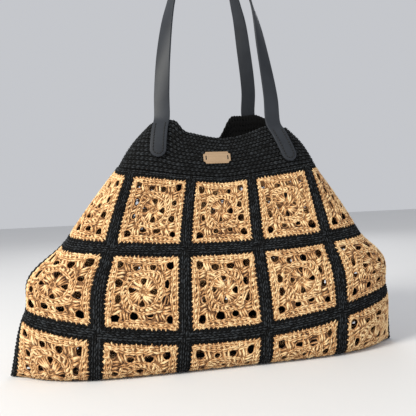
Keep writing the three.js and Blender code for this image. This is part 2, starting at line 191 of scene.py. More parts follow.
def level_section(row, side):
    """The half outline on one side, from the left seam to the right one, by equal lengths."""
    half_width = row["half_width"] * PANEL_WIDTH
    depth = row["front" if side > 0 else "back"] * FLOOR_DEPTH
    power = 2 / row["square_front" if side > 0 else "square_back"]
    angle = np.linspace(0, math.pi, SECTION_STEPS + 1)
    c, s = np.cos(angle), np.maximum(np.sin(angle), 0)
    outline = points_of(-np.sign(c) * np.abs(c) ** power * half_width, -side * s ** power * depth, 0)
    steps = np.linalg.norm(np.diff(outline, axis=0), axis=1)
    lengths = np.concatenate([[0], np.cumsum(steps)])
    outline = turned(outline, math.radians(row["turn"]))
    outline[:, 0] += row["across"] * PANEL_WIDTH
    outline[:, 1] += row["seam_y"] * FLOOR_DEPTH

    def at(share):
        x, y = (np.interp(share * lengths[-1], lengths, outline[:, i]) for i in (0, 1))
        return points_of(x, y, 0)
    return at


def rising_section(row, side):
    """The same outline at its own height, which climbs from the middle to the seams."""
    outline = level_section(row, side)

    def at(share):
        p = outline(share)
        towards_seam = np.abs(2 * share - 1) ** row["rise"]
        p[:, 2] = (row["height"] + (row["seam_height"] - row["height"]) * towards_seam) * PANEL_HEIGHT
        return p
    return at


SIDE_SECTIONS = {side: [rising_section(row, side) for row in SECTIONS] for side in (1, -1)}
RIM_SECTIONS = {side: level_section(RIM, side) for side in (1, -1)}


def hermite(p0, m0, p1, m1, t):
    t = t[:, None]
    t2, t3 = t * t, t * t * t
    return p0 * (2 * t3 - 3 * t2 + 1) + m0 * (t3 - 2 * t2 + t) + p1 * (3 * t2 - 2 * t3) + m1 * (t3 - t2)


def cloth_point(side, across, down):
    """Points of the outer face: across counts squares from the left seam, down from the top."""
    share = across / COLUMNS
    shoulder, waist, hip = (section(share) for section in SIDE_SECTIONS[side])
    from_middle = 2 * share - 1
    x = from_middle * FLOOR_HALF_WIDTH * PANEL_WIDTH
    reach = FLOOR_DEPTH / 2 * (1 - np.abs(from_middle) ** FLOOR_TAPER)
    floor_seam = points_of(x, 0, 0)
    corner = points_of(x, -side * reach, 0)
    wall = np.linalg.norm(hip - corner, axis=1)
    bend = np.minimum(FLOOR_BEND, reach)
    length = wall + reach
    wall_end = between(corner, hip, bend / wall)
    floor_start = between(corner, floor_seam, bend / np.maximum(reach, TINY))
    bend_from = 2 + (wall - bend) / length
    bend_to = 2 + (wall + bend) / length
    waist_slope = (hip - shoulder) / 2
    top_slope = (waist - shoulder) * 2 - waist_slope
    span = bend_from - 2
    hip_slope = (hip - waist) / 2 + (wall_end - hip) * (0.5 / span)[:, None]
    end_slope = (corner - hip) * (length * span / wall)[:, None]
    top = hermite(shoulder, top_slope, waist, waist_slope, down)
    flank = hermite(waist, waist_slope, hip, hip_slope, down - 1)
    swell = np.abs(from_middle) ** FLANK_TAPER * np.sin(math.pi * down) ** 2
    flank[:, 0] += np.sign(from_middle) * swell * FLANK * PANEL_WIDTH
    low = hermite(hip, hip_slope * span[:, None], wall_end, end_slope, (down - 2) / span)
    t = ((down - bend_from) / np.maximum(bend_to - bend_from, TINY))[:, None]
    bent = wall_end * (1 - t) ** 2 + corner * 2 * t * (1 - t) + floor_start * t * t
    floor_share = (down - bend_to) / np.maximum(ROWS - bend_to, TINY)
    floor = between(floor_start, floor_seam, np.clip(floor_share, 0, 1))
    where = [down <= 1, down <= 2, down <= bend_from, down < bend_to]
    return np.select([rows[:, None] for rows in where], [top, flank, low, bent], floor)


def cloth_normal(side, across, down):
    a = np.clip(across, NORMAL_STEP, COLUMNS - NORMAL_STEP)
    d = np.clip(down, NORMAL_STEP, ROWS - NORMAL_STEP)
    along_row = cloth_point(side, a + NORMAL_STEP, d) - cloth_point(side, a - NORMAL_STEP, d)
    down_column = cloth_point(side, a, d + NORMAL_STEP) - cloth_point(side, a, d - NORMAL_STEP)
    return unit(np.cross(down_column, along_row) * side)


def skin_normal(side, across, down):
    """Beside a side seam both panels share one direction through the cloth."""
    seam_at = np.where(across < COLUMNS / 2, 0.0, float(COLUMNS))
    normal = cloth_normal(side, across, down)
    nearness = np.clip(1 - np.abs(across - seam_at) / EDGE, 0, 1)
    shared = unit(cloth_normal(1, seam_at, down) + cloth_normal(-1, seam_at, down))
    return unit(between(normal, shared, nearness))


def on_cloth(side):
    """Lays flat work on the cloth: across from the left seam, up from the top edge, and outwards."""
    def place(flat):
        across = np.clip(flat[:, 0] / SQUARE_PITCH, 0, COLUMNS)
        down = np.clip(-flat[:, 1] / SQUARE_PITCH, 0, ROWS)
        p = cloth_point(side, across, down) + skin_normal(side, across, down) * flat[:, 2:3]
        p[:, 2] = np.maximum(p[:, 2], 0)
        return p
    return place


# The yoke's surface

def by_side(around, work):
    """Places round the bag run over the front from the left seam and come back over the back."""
    a = np.mod(around, CIRCUIT)
    front = a <= COLUMNS
    across = np.where(front, a, CIRCUIT - a)
    return np.where(front[:, None], work(1, across), work(-1, across))


def rim_rise(around):
    a = np.mod(around, CIRCUIT)
    at = np.array(RIM_WAVES["at"] + [CIRCUIT + RIM_WAVES["at"][0]])
    rise = np.array(RIM_WAVES["rise"] + [RIM_WAVES["rise"][0]])
    k = np.clip(np.searchsorted(at, a, side="right") - 1, 0, len(at) - 2)
    t = (a - at[k]) / (at[k + 1] - at[k])
    return rise[k] + (rise[k + 1] - rise[k]) * (1 - np.cos(math.pi * t)) / 2


def yoke_point(around, up):
    foot = by_side(around, lambda side, across: cloth_point(side, across, np.zeros_like(across)))
    out = by_side(around, lambda side, across: skin_normal(side, across, np.zeros_like(across)))
    top = by_side(around, lambda side, across: RIM_SECTIONS[side](across / COLUMNS))
    top[:, 2] = foot[:, 2] + YOKE_HEIGHT * rim_rise(around)
    return between(foot, top, up) + out * (YOKE_BULGE * YOKE_HEIGHT * np.sin(math.pi * up))[:, None]


def yoke_normal(around, up):
    u = np.clip(up, NORMAL_STEP, 1 - NORMAL_STEP)
    along_band = yoke_point(around + NORMAL_STEP, u) - yoke_point(around - NORMAL_STEP, u)
    up_band = yoke_point(around, u + NORMAL_STEP) - yoke_point(around, u - NORMAL_STEP)
    own = unit(np.cross(along_band, up_band))
    foot = by_side(around, lambda side, across: skin_normal(side, across, np.zeros_like(across)))
    return unit(between(foot, own, np.clip(up * YOKE_RINGS, 0, 1)))


YOKE_ROUND = float(np.linalg.norm(np.diff(
    yoke_point(np.linspace(0, CIRCUIT, SECTION_STEPS), np.full(SECTION_STEPS, 0.5)), axis=0), axis=1).sum())


def on_yoke(flat):
    """Lays flat work on the yoke: round it from the left seam, up from its foot, and outwards."""
    around = flat[:, 0] / YOKE_ROUND * CIRCUIT
    up = flat[:, 1] / YOKE_HEIGHT
    return yoke_point(around, up) + yoke_normal(around, up) * flat[:, 2:3]


def plaque_basis():
    """The middle of the plaque's back, with its right, up and outward directions."""
    at = yoke_point(np.array([PLAQUE_AT["around"]]), np.array([PLAQUE_AT["up"]]))[0]
    outward = yoke_normal(np.array([PLAQUE_AT["around"]]), np.array([PLAQUE_AT["up"]]))[0]
    right = unit(np.cross((0, 0, 1), outward))
    return at + outward * 2 * CLEARANCE, right, np.cross(outward, right), outward


def row_shift():
    """The model is centred on its box, and the plaque's own place says how far it was moved."""
    at, _, _, outward = plaque_basis()
    low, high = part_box("plaque")
    return np.array((low + high) / 2) / MM - (at + outward * PLAQUE_THICKNESS / 2)


SHIFT = row_shift()


# Yarn

class Work:
    """Strands and sheets of one piece, kept as arrays until the piece is made."""

    def __init__(self):
        self.points = []
        self.tones = []
        self.faces = []
        self.twists = []
        self.count = 0

    def add(self, points, tones, faces, twists):
        """faces is a list of index arrays, one for each number of corners, and twists go with them."""
        self.points.append(points)
        self.tones.append(tones)
        self.faces += [face + self.count for face in faces]
        self.twists += twists
        self.count += len(points)

    def strands(self, paths, radii, tones, sides=5):
        """Closed tubes: paths holds n lines of k points, radii a value for each point, tones one a line."""
        n, k, _ = paths.shape
        along = unit(np.gradient(paths, axis=1))
        beside = np.cross(along, (0, 0, 1))
        upright = np.linalg.norm(beside, axis=2, keepdims=True) < STEEP
        beside = unit(np.where(upright, np.cross(along, (1, 0, 0)), beside))
        above = np.cross(beside, along)
        angle = 2 * math.pi * np.arange(sides) / sides
        ring = np.cos(angle)[:, None] * beside[:, :, None] + np.sin(angle)[:, None] * above[:, :, None]
        points = paths[:, :, None] + np.broadcast_to(radii, (n, k))[:, :, None, None] * ring
        index = np.arange(n * k * sides).reshape(n, k, sides)
        turn = np.roll(index, -1, axis=2)
        quads = np.stack([index[:, :-1], index[:, 1:], turn[:, 1:], turn[:, :-1]], -1).reshape(-1, 4)
        steps = np.linalg.norm(np.diff(paths, axis=1), axis=2)
        lengths = np.concatenate([np.zeros((n, 1)), np.cumsum(steps, axis=1)], axis=1)
        way = np.broadcast_to(lengths[:, :, None], (n, k, sides))
        turn_at = np.broadcast_to(np.arange(sides) / sides, (n, k - 1, sides))
        step_of_turn = 1 / sides
        twist = np.stack([
            np.stack([way[:, :-1], turn_at], -1),
            np.stack([way[:, 1:], turn_at], -1),
            np.stack([way[:, 1:], turn_at + step_of_turn], -1),
            np.stack([way[:, :-1], turn_at + step_of_turn], -1),
        ], 3).reshape(-1, 4, 2)
        caps = np.concatenate([index[:, 0], index[:, -1, ::-1]])
        # Painted shade and highlight: points near the middle of the wall, in the crevices, get a darker
        # tone, and points out on the crests a lighter one.
        depth = np.abs(points[..., 2] - CLOTH_MIDDLE) - CREVICE_FROM
        tones = np.broadcast_to(tones, (n,))[:, None, None] + CREVICE_SHADE * depth
        untwisted = np.zeros((len(caps), sides, 2))
        self.add(points.reshape(-1, 3), tones.ravel(), [quads, caps], [twist, untwisted])

    def sheet(self, us, vs, open_at, kind):
        """A thin sheet over a grid of lines, open where open_at says, closed at every edge."""
        nu, nv = len(us), len(vs)
        gu, gv = np.meshgrid(us, vs, indexing="ij")
        grid = points_of(gu, gv, 0).reshape(-1, 3)
        centre = (points_of(gu, gv, 0)[:-1, :-1] + points_of(gu, gv, 0)[1:, 1:]) / 2
        kept = ~open_at(centre.reshape(-1, 3), grid).reshape(nu - 1, nv - 1)
        lower, upper = grid.copy(), grid.copy()
        lower[:, 2] = CLOTH_MIDDLE - kind["thickness"] / 2
        upper[:, 2] = CLOTH_MIDDLE + kind["thickness"] / 2
        index = np.arange(nu * nv).reshape(nu, nv)
        a, b, c, d = (index[:-1, :-1], index[1:, :-1], index[1:, 1:], index[:-1, 1:])
        face = np.stack([a, b, c, d], -1)
        over = face[kept] + nu * nv
        under = face[kept][:, ::-1]
        padded = np.pad(kept, 1)
        walls = []
        for step, (p, q) in (((0, -1), (a, b)), ((1, 0), (b, c)), ((0, 1), (c, d)), ((-1, 0), (d, a))):
            beyond = padded[1 + step[0]:nu + step[0], 1 + step[1]:nv + step[1]]
            rim = kept & ~beyond
            walls.append(np.stack([p[rim], q[rim], q[rim] + nu * nv, p[rim] + nu * nv], -1))
        faces = np.concatenate([over, under, *walls])
        used, corners = np.unique(faces, return_inverse=True)
        points = np.concatenate([lower, upper])[used]
        untwisted = np.zeros((len(faces), 4, 2))
        # The sheet's tone is painted shade: it is dark so that the gaps behind the stitches look shadowed.
        self.add(points, np.full(len(points), kind["tone"]), [corners.reshape(-1, 4)], [untwisted])

    def piece(self, name, place, finish, flip=False):
        """Makes the piece, laid by place, in the row frame. flip turns mirrored work the right way out."""
        points = (place(np.concatenate(self.points)) + SHIFT) * MM
        loops, twists, starts, at = [], [], [], 0
        for face, twist in zip(self.faces, self.twists):
            face, twist = (face[:, ::-1], twist[:, ::-1]) if flip else (face, twist)
            loops.append(face.ravel())
            twists.append(twist.reshape(-1, 2))
            starts.append(at + np.arange(len(face)) * face.shape[1])
            at += face.size
        mesh = bpy.data.meshes.new(name)
        mesh.vertices.add(len(points))
        mesh.vertices.foreach_set("co", points.astype(np.float32).ravel())
        mesh.loops.add(at)
        mesh.loops.foreach_set("vertex_index", np.concatenate(loops).astype(np.int32))
        starts = np.concatenate(starts).astype(np.int32)
        mesh.polygons.add(len(starts))
        mesh.polygons.foreach_set("loop_start", starts)
        mesh.update(calc_edges=True)
        mesh.shade_smooth()
        # tone holds each strand's own shade and, on strands, the painted shade of crevices and painted
        # highlight of crests
        tone = mesh.attributes.new("tone", "FLOAT", "POINT")
        tone.data.foreach_set("value", np.concatenate(self.tones).astype(np.float32))
        twist = mesh.attributes.new("twist", "FLOAT2", "CORNER")
        twist.data.foreach_set("vector", np.concatenate(twists).astype(np.float32).ravel())
        obj = bpy.data.objects.new(name, mesh)
        bpy.context.scene.collection.objects.link(obj)
        mesh.materials.append(finish)
        return obj


def ride_as(obj, slot, *nodes):
    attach(obj, "root")
    if nodes:
        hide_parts(*nodes)
    return obj


# Stitches, as lines of points on flat work

def posts(feet, heads, kind):
    """Two strands to a stitch, crossing once on their way from its foot to its head."""
    across = unit(np.cross(unit(heads - feet), (0, 0, 1)))
    swing = np.array([1.0, 0.75, -0.75, -1.0])
    rise = np.array([-0.35, 1.0, 0.75, -0.2])
    lines = []
    for hand in (1, -1):
        line = lines_from(feet, heads - feet, (-0.04, 0.33, 0.67, 1.04))
        line = line + across[:, None] * (hand * kind["spread"] * swing)[None, :, None]
        line[:, :, 2] += CLOTH_MIDDLE + kind["lift"] * hand * rise
        lines.append(line)
    return np.concatenate(lines)


def chain(route, out, kind):
    """A row of V stitches along a closed route."""
    return chain_steps(route, np.roll(route, -1, axis=0) - route, out, kind)


def chain_steps(tips, step, out, kind):
    """From each tip two strands part, and the next tip lies between them."""
    part = np.array([0.05, 0.95, 0.80])
    rise = np.array([-0.4, 0.7, 0.1])
    lines = []
    for hand in (1, -1):
        line = lines_from(tips, step, np.array([0.0, 0.55, 1.0]) * kind["reach"])
        line = line + out[:, None] * (hand * kind["spread"] * part)[None, :, None]
        line[:, :, 2] += CLOTH_MIDDLE + kind["lift"] * rise + CHAIN_STANDS
        lines.append(line)
    return np.concatenate(lines)


def lay(work, rng, lines, kind):
    """Lays strands of one kind, each with its own thickness and shade."""
    strays = rng.normal(1, THICKNESS_WANDER, (len(lines), 1))
    tones = rng.normal(kind["tone"], kind["wander"], len(lines))
    work.strands(lines, STRAND_RADIUS * np.array(kind["thickness"]) * strays, tones, kind["sides"])


# Where a granny square's stitches stand, as shares of the tan's half width. A square is four equal turns.
CENTRE_RING = 0.085
CENTRE_CORNER = CENTRE_RING * 0.72
PETAL_TOP = 0.40
PETAL_ANGLES = [22, 38, 52, 68]
ROUND_TWO = {"foot": 0.44, "axis": 0.555, "corner": 0.505, "spread": 0.98, "stitches": 7}
SIDE_GROUPS = [
    {"foot": (-0.055, 0.57), "head": (-0.050, 0.785)},
    {"foot": (0.055, 0.57), "head": (0.050, 0.785)},
    {"foot": (-0.395, 0.560), "head": (-0.400, 0.800)},
    {"foot": (0.395, 0.560), "head": (0.410, 0.800)},
    {"foot": (-0.480, 0.545), "head": (-0.500, 0.805)},
    {"foot": (0.480, 0.545), "head": (0.505, 0.805)},
    {"foot": (-0.535, 0.530), "head": (-0.595, 0.815)},
    {"foot": (0.535, 0.530), "head": (0.600, 0.815)},
]
BORDER_AXIS = 0.815
BORDER_CORNER = 0.860
BORDER_TOP = 0.950
BORDER_STITCHES = 12
MOTIF_CHAINS = [
    {"axis": 0.435, "corner": 0.310, "stitches": 5},
    {"axis": 0.570, "corner": 0.470, "stitches": 7},
    {"axis": 0.790, "corner": 0.848, "stitches": 11},
    {"axis": 0.910, "corner": 0.920, "stitches": 14},
]
STITCH_WANDER = 0.014
TEETH = 15
TOOTH_FROM = 0.94
TOOTH_TO = 0.995
TOOTH_LEAN = 0.010
TOOTH_LEAN_WANDER = 0.008
TOOTH_LENGTH_WANDER = 0.010
TOOTH_STANDS = (0.8, 0.45)  # at its foot and tip, in millimetres from the middle of the wall

# The gaps between stitches: middle, half sizes, and how much narrower they are towards the square's middle
HOLES = [
    {"at": (0.0, 0.300), "wide": 0.095, "tall": 0.110, "taper": 0.55},
    {"at": (-0.230, 0.625), "wide": 0.118, "tall": 0.102, "taper": 0.20},
    {"at": (0.215, 0.635), "wide": 0.130, "tall": 0.122, "taper": 0.35},
    {"at": (0.735, 0.735), "wide": 0.150, "tall": 0.138, "taper": 0.20},
    {"at": (-0.310, 0.850), "wide": 0.070, "tall": 0.032, "taper": 0.0},
]
HOLE_STEPS = 9
HOLE_WANDER = 0.022
HOLE_SIZES = (0.78, 1.20)  # the smallest and largest a hole comes out, of its own size
HOLE_STRAND = {"reach": 1.05, "thickness": 0.74, "stands": 0.45, "wave": 0.40, "tone": 0.50, "wander": 0.12}
BACK_OPENNESS = 0.56  # the back's holes are pulled narrower
SHEET_LINES = 25
SHEET_MARGIN = 0.8  # from the tan's edge, in millimetres
SHEET_REACH = 1.12  # where the sheet ends at a hole, in the hole's own reach


def quarters(points):
    return np.concatenate([turned(points, k * math.pi / 2) for k in range(4)])


def flat(pairs):
    return np.array([(x, y, 0.0) for x, y in pairs])


def along_side(count):
    """Shares of a side, from -1 to 1, for stitches at equal steps."""
    return (np.arange(count) + 0.5) / count * 2 - 1


def border_line(share, axis, corner):
    """The line that a round follows on one side, from corner to corner."""
    return points_of(share * corner, axis + (corner - axis) * share ** 2, 0)


class Hole:
    """One gap of a square. Inside its rim a point's reach is under 1."""

    def __init__(self, row, quarter, rng, openness):
        self.turn = quarter * math.pi / 2
        wander = np.append(rng.normal(0, HOLE_WANDER, 2), 0)
        self.at = (turned(flat([row["at"]]), self.turn)[0] + wander) * TAN_HALF
        self.size = np.array([row["wide"], row["tall"]]) * rng.uniform(*HOLE_SIZES, 2) * openness * TAN_HALF
        self.taper = row["taper"]

    def widths(self, height):
        return 1 + self.taper * np.clip(height, -1, 1)

    def local(self, points):
        p = turned(points - self.at, -self.turn)
        y = p[..., 1] / self.size[1]
        return np.stack([p[..., 0] / self.size[0] / self.widths(y), y], -1)

    def rim(self, angle, reach=1.0):
        y = np.sin(angle) * reach
        x = np.cos(angle) * reach * self.widths(y)
        return turned(points_of(x * self.size[0], y * self.size[1], 0), self.turn) + self.at

    def holds(self, points, reach=1.0):
        return np.linalg.norm(self.local(points), axis=-1) < reach

    def clear(self, points, reach=1.0):
        """Points inside the hole are moved out to its rim."""
        inside = self.holds(points, reach)
        if inside.any():
            local = self.local(points[inside])
            moved = self.rim(np.arctan2(local[..., 1], local[..., 0]), reach)
            points[inside, :2] = moved[..., :2]
        return points


def motif_holes(rng, openness):
    return [Hole(row, quarter, rng, openness) for row in HOLES for quarter in range(4)]


def motif_stitches():
    """Feet and heads of all a square's stitches."""
    feet, heads = [], []
    angles = np.radians(PETAL_ANGLES)
    rays = points_of(np.cos(angles), np.sin(angles), 0)
    feet.append(rays * CENTRE_RING)
    heads.append(rays * PETAL_TOP)
    side = along_side(ROUND_TWO["stitches"])
    angles = (1 - side / 2) * math.pi / 2
    feet.append(points_of(np.cos(angles), np.sin(angles), 0) * ROUND_TWO["foot"])
    heads.append(border_line(side * ROUND_TWO["spread"], ROUND_TWO["axis"], ROUND_TWO["corner"]))
    feet.append(flat([row["foot"] for row in SIDE_GROUPS]))
    heads.append(flat([row["head"] for row in SIDE_GROUPS]))
    side = along_side(BORDER_STITCHES)
    feet.append(border_line(side, BORDER_AXIS, BORDER_CORNER))
    heads.append(border_line(side, BORDER_TOP, BORDER_TOP))
    return quarters(np.concatenate(feet)), quarters(np.concatenate(heads))


def ring_route(axis, corner, stitches):
    """A closed round of tips: stitches to each side, the sides' line bulging from corner to axis."""
    side = 1 - np.arange(stitches) / stitches * 2
    return quarters(border_line(side, axis, corner))


def outward_of(route):
    step = unit(np.roll(route, -1, axis=0) - np.roll(route, 1, axis=0))
    return np.cross(step, (0, 0, 1))


def granny_square(rng, openness):
    """A square's yarn round its own middle, lying flat."""
    work = Work()
    holes = motif_holes(rng, openness)

    def lay_beside_holes(lines, kind):
        for hole in holes:
            lines = hole.clear(lines)
        lay(work, rng, lines, kind)

    feet, heads = (strayed(rng, ends, STITCH_WANDER) * TAN_HALF for ends in motif_stitches())
    lay_beside_holes(posts(feet, heads, SQUARE_STITCH), SQUARE_STITCH)
    for row in MOTIF_CHAINS:
        route = strayed(rng, ring_route(row["axis"], row["corner"], row["stitches"]), STITCH_WANDER)
        lay_beside_holes(chain(route * TAN_HALF, outward_of(route), SQUARE_CHAIN), SQUARE_CHAIN)
    centre = ring_route(CENTRE_RING, CENTRE_CORNER, 2)
    lay_beside_holes(chain(centre * TAN_HALF, outward_of(centre), CENTRE_CHAIN), CENTRE_CHAIN)
    for hole in holes:
        hole_strand(work, rng, hole)
    teeth(work, rng)
    lines = np.linspace(-1, 1, SHEET_LINES) * (TAN_HALF - SHEET_MARGIN)
    work.sheet(lines, lines, lambda centres, grid: sheet_holes(holes, centres, grid), SQUARE_SHEET)
    return work


def hole_strand(work, rng, hole):
    """One strand goes once round a hole, rising and falling twice."""
    angle = np.linspace(0, 2 * math.pi, HOLE_STEPS) + rng.uniform(0, math.pi)
    line = hole.rim(angle, HOLE_STRAND["reach"])
    wave = np.sin(angle * 2 + rng.uniform(0, 2 * math.pi))
    wave[-1] = wave[0]
    line[:, 2] = CLOTH_MIDDLE + HOLE_STRAND["stands"] + HOLE_STRAND["wave"] * wave
    radii = np.full((1, HOLE_STEPS), STRAND_RADIUS * HOLE_STRAND["thickness"])
    work.strands(line[None], radii, rng.normal(HOLE_STRAND["tone"], HOLE_STRAND["wander"], 1))


def teeth(work, rng):
    """The last round's loops, whose tips stand out into the black."""
    side = along_side(TEETH)
    lean = rng.normal(TOOTH_LEAN, TOOTH_LEAN_WANDER, TEETH)
    longer = rng.normal(0, TOOTH_LENGTH_WANDER, TEETH)
    feet = quarters(border_line(side, TOOTH_FROM, TOOTH_FROM)) * TAN_HALF
    tips = quarters(border_line(side, TOOTH_TO, TOOTH_TO) + points_of(lean, longer, 0)) * TAN_HALF
    lines = lines_from(feet, tips - feet, (0.0, 1.0))
    lines[:, :, 2] += CLOTH_MIDDLE + np.array(TOOTH_STANDS)
    lay(work, rng, lines, TOOTH)


def sheet_holes(holes, centres, grid):
    """Which cells of the sheet are open, with the sheet's points moved to the holes' rims."""
    inside = np.zeros(len(centres), bool)
    for hole in holes:
        inside |= hole.holds(centres, SHEET_REACH)
        hole.clear(grid, SHEET_REACH)
    return inside


# Black edging: round each square a row of single stitches, closed by a row of V stitches beside the joint

EDGING_POSTS = 17
EDGING_FROM = -1.2  # of the single stitches, from the tan's edge
EDGING_TO = 3.6
EDGING_CHAIN_AT = 5.3
EDGING_CHAIN_STITCHES = 17
EDGING_WANDER = 0.25
EDGING_OVERLAP = 0.6  # of its sheet, under the tan
EDGING_SHEET_LINES = 13


def edging_round(work, rng, centre):
    side = border_line(along_side(EDGING_POSTS), 1, 1)
    feet = quarters(side * (TAN_HALF + EDGING_FROM)) + centre
    heads = quarters(side * (TAN_HALF + EDGING_TO)) + centre
    lay(work, rng, posts(feet, heads, EDGING_STITCH), EDGING_STITCH)
    reach = TAN_HALF + EDGING_CHAIN_AT
    route = strayed(rng, ring_route(reach, reach, EDGING_CHAIN_STITCHES), EDGING_WANDER)
    lay(work, rng, chain(route + centre, outward_of(route), EDGING_CHAIN), EDGING_CHAIN)


def edging(rng):
    work = Work()
    for row in range(ROWS):
        for column in range(COLUMNS):
            edging_round(work, rng, square_centre(row, column))
    us = np.unique(np.concatenate([edging_lines(c) for c in range(COLUMNS)]))
    vs = -np.unique(np.concatenate([edging_lines(r) for r in range(ROWS)]))[::-1]
    work.sheet(us, vs, in_tan, BLACK_SHEET)
    return work


def square_centre(row, column):
    return np.array([(column + 0.5) * SQUARE_PITCH, -(row + 0.5) * SQUARE_PITCH, 0.0])


def edging_lines(place):
    """Lines of the edging's sheet over one square: both bands, and between them steps of about a stitch."""
    middle = (place + 0.5) * SQUARE_PITCH
    reach = TAN_HALF - EDGING_OVERLAP
    return np.concatenate([
        [place * SQUARE_PITCH, (place + 1) * SQUARE_PITCH],
        middle + np.linspace(-reach, reach, EDGING_SHEET_LINES)]).round(4)


def in_tan(centres, grid):
    """Which cells of the edging's sheet are open, because a square lies there."""
    place = np.abs(np.mod(np.abs(centres[:, :2]) / SQUARE_PITCH, 1) - 0.5)
    return (place < (TAN_HALF - EDGING_OVERLAP) / SQUARE_PITCH).all(axis=1)


# The yoke: rounds of single stitches, each under a row of V stitches

YOKE_ROUNDS = 12
YOKE_STITCHES = 128
YOKE_WANDER = 0.10
YOKE_FOOT = 0.5  # where a round's stitches start, above its foot
YOKE_HEAD = 0.72  # a stitch's height, of its round's
YOKE_CHAIN_AT = 0.62
YOKE_SHEET_LINES = (97, 11)  # round the bag and up it
YOKE_SHEET_FROM = 0.4
YOKE_SHEET_SHORT = 1.0  # from the top of the sheet to the rim


def yoke_work(rng):
    work = Work()
    pitch = YOKE_ROUND / YOKE_STITCHES
    row_height = YOKE_HEIGHT / YOKE_ROUNDS
    for row in range(YOKE_ROUNDS):
        at = (np.arange(YOKE_STITCHES) + 0.5 * (row % 2)) * pitch
        stray = rng.normal(0, YOKE_WANDER, (2, YOKE_STITCHES))
        feet = points_of(at + stray[0], row * row_height + YOKE_FOOT, 0)
        heads = feet + (0.0, row_height * YOKE_HEAD, 0.0)
        lay(work, rng, posts(feet, heads, YOKE_STITCH), YOKE_STITCH)
        tips = points_of(at + stray[1], (row + YOKE_CHAIN_AT) * row_height, 0)
        step = np.broadcast_to((pitch, 0.0, 0.0), tips.shape)
        out = np.broadcast_to((0.0, 1.0, 0.0), tips.shape)
        lay(work, rng, chain_steps(tips, step, out, YOKE_CHAIN), YOKE_CHAIN)
    us = np.linspace(0, YOKE_ROUND, YOKE_SHEET_LINES[0])
    vs = np.linspace(YOKE_SHEET_FROM, YOKE_HEIGHT - YOKE_SHEET_SHORT, YOKE_SHEET_LINES[1])
    work.sheet(us, vs, lambda centres, grid: np.zeros(len(centres), bool), BLACK_SHEET)
    return work


# Straps

STRAP_STATIONS = 150
STRAP_EDGE = 0.9  # radius of the leather's rounded edges
TIP_WIDTH = 0.18  # the narrowest that a rounded tip gets, of the half width
TIP_STEPS = 12
EDGE_STEPS = 4
CURVE_STEPS = 60  # from one chosen point to the next
SLOPE_STEP = 0.002


def curve_through(points):
    """A centripetal Catmull-Rom curve through points, as many fine points with their lengths along it."""
    p = np.vstack([2 * points[0] - points[1], points, 2 * points[-1] - points[-2]])
    out = []
    for i in range(1, len(p) - 2):
        p0, p1, p2, p3 = p[i - 1:i + 3]
        d0, d1, d2 = (np.linalg.norm(b - a) ** 0.5 for a, b in ((p0, p1), (p1, p2), (p2, p3)))
        m1 = ((p1 - p0) / d0 - (p2 - p0) / (d0 + d1) + (p2 - p1) / d1) * d1
        m2 = ((p2 - p1) / d1 - (p3 - p1) / (d1 + d2) + (p3 - p2) / d2) * d1
        t = np.linspace(0, 1, CURVE_STEPS, endpoint=i == len(p) - 3)
        out.append(hermite(p1, m1, p2, m2, t))
    line = np.concatenate(out)
    lengths = np.concatenate([[0], np.cumsum(np.linalg.norm(np.diff(line, axis=0), axis=1))])
    return line, lengths


def tab_path(tab):
    foot, rim = tab
    ends = yoke_point(np.array([rim, rim]), np.array([0.0, 1.0]))
    share = np.arange(TAB_STEPS + 1) / TAB_STEPS
    up = 1 - STRAP_TAB / np.linalg.norm(ends[1] - ends[0]) * (1 - share)
    at = foot + (rim - foot) * share
    return yoke_point(at, up) + yoke_normal(at, up) * (2 * CLEARANCE + STRAP_THICKNESS / 2)


class Strap:
    """The strap's middle line, with the direction that its face looks in."""

    def __init__(self, design):
        left, right = tab_path(design["left"]), tab_path(design["right"])
        middle = (left[-1] + right[-1]) / 2

        def leg(end, row, hand):
            at = middle + (end - middle) * row[hand]
            rise = end[2] + (middle[2] + STRAP_RISE - end[2]) * row["up"]
            return np.array([at[0], at[1] + design["side"] * row["inward"] * FLOOR_DEPTH, rise])

        up = [leg(left[-1], row, "left") for row in STRAP_LEGS]
        down = [leg(right[-1], row, "right") for row in reversed(STRAP_LEGS)]
        route = np.array([*left, *up, leg(left[-1], STRAP_TOP, "left"), *down, *right[::-1]])
        self.line, self.lengths = curve_through(route)
        self.length = self.lengths[-1]
        self.middle = middle
        self.tabs = np.array([design["left"], design["right"]])

    def at(self, share):
        want = share * self.length
        return np.stack([np.interp(want, self.lengths, self.line[:, i]) for i in range(3)], -1)

    def basis(self, share):
        """Along, across and outwards, at shares of the length."""
        along = unit(self.at(np.minimum(share + SLOPE_STEP, 1)) - self.at(np.maximum(share - SLOPE_STEP, 0)))
        here = self.at(share)
        from_arch = unit(points_of(here[:, 0] - self.middle[0], 0, here[:, 2] - self.middle[2]))
        from_tip = np.minimum(share, 1 - share)
        t = np.clip((from_tip - STRAP_TURN_FROM) / (STRAP_TURN_TO - STRAP_TURN_FROM), 0, 1)
        turned_by = t * t * (3 - 2 * t)
        foot, rim = np.where((share < 0.5)[:, None], self.tabs[0], self.tabs[1]).T
        up_tab = np.minimum(from_tip * self.length / STRAP_TAB, 1)
        at_end = yoke_normal(foot + (rim - foot) * up_tab, np.full(len(share), STRAP_LIES_AT))
        outward = between(at_end, from_arch, turned_by)
        outward = unit(outward - along * (outward * along).sum(1, keepdims=True))
        return along, np.cross(along, outward), outward

    def place(self, work_points):
        """Lays flat work on the strap: along it from its tip, across it, and out of its face."""
        share = work_points[:, 0] / self.length
        _, across, outward = self.basis(share)
        return self.at(share) + across * work_points[:, 1:2] + outward * work_points[:, 2:3]


def strap_section():
    """The leather's section: which side each point is on, its place across the rounded edge, and out."""
    half = STRAP_THICKNESS / 2
    angle = np.linspace(0, math.pi / 2, EDGE_STEPS)
    rows = []
    for turn, (x, z) in enumerate([(1, 1), (-1, 1), (-1, -1), (1, -1)]):
        middle = z * (half - STRAP_EDGE)
        for a in angle + turn * math.pi / 2:
            rows.append((x, STRAP_EDGE * math.cos(a), middle + STRAP_EDGE * math.sin(a)))
    return np.array(rows)


